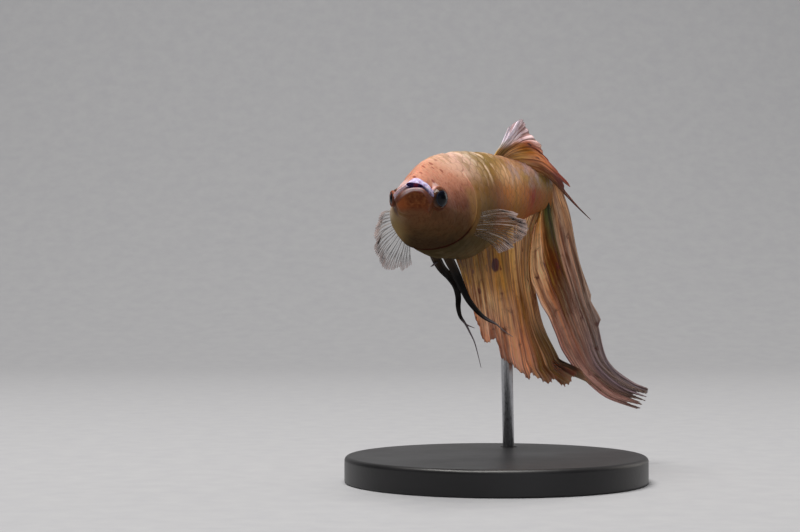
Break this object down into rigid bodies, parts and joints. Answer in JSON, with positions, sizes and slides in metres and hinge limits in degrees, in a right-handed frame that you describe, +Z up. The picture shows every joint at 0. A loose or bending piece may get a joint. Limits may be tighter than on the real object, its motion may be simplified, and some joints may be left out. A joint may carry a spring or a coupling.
{
  "type": "betta fish",
  "caption": "Still life-size male betta fish with long hanging fins, turned at the neck and tail, held over a round display base by a slanted rod.",
  "frame": {"origin": "centre of the display base's underside", "axes": "+Z up, the fish looks along -Y, its left side towards +X"},
  "size_m": [0.044, 0.0558, 0.0483],
  "materials": {
    "face_skin": "wet, satin, salmon orange over brown",
    "flank_skin": "wet, satin, cream to orange scales",
    "eye": "glossy, wet",
    "long_fin": "thin membrane, streaked salmon, tan and maroon",
    "clear_fin": "clear thin membrane with grey rays",
    "dark_fin": "near black, satin",
    "stand_black": "satin black",
    "stand_steel": "polished rod"
  },
  "bodies": {
    "root": {"head": "face_skin", "lower_jaw": "face_skin", "gill_cover_left": "face_skin", "gill_cover_right": "face_skin", "trunk": "flank_skin", "tail_stem": "flank_skin", "eye_left": "eye", "eye_right": "eye", "dorsal_fin": "long_fin", "anal_fin": "long_fin", "caudal_fin": "long_fin", "pectoral_fin_left": "clear_fin", "pectoral_fin_right": "clear_fin", "pelvic_fin_left": "dark_fin", "pelvic_fin_right": "dark_fin", "stand_base": "stand_black", "stand_rod": "stand_steel"}
  },
  "joints": []
}
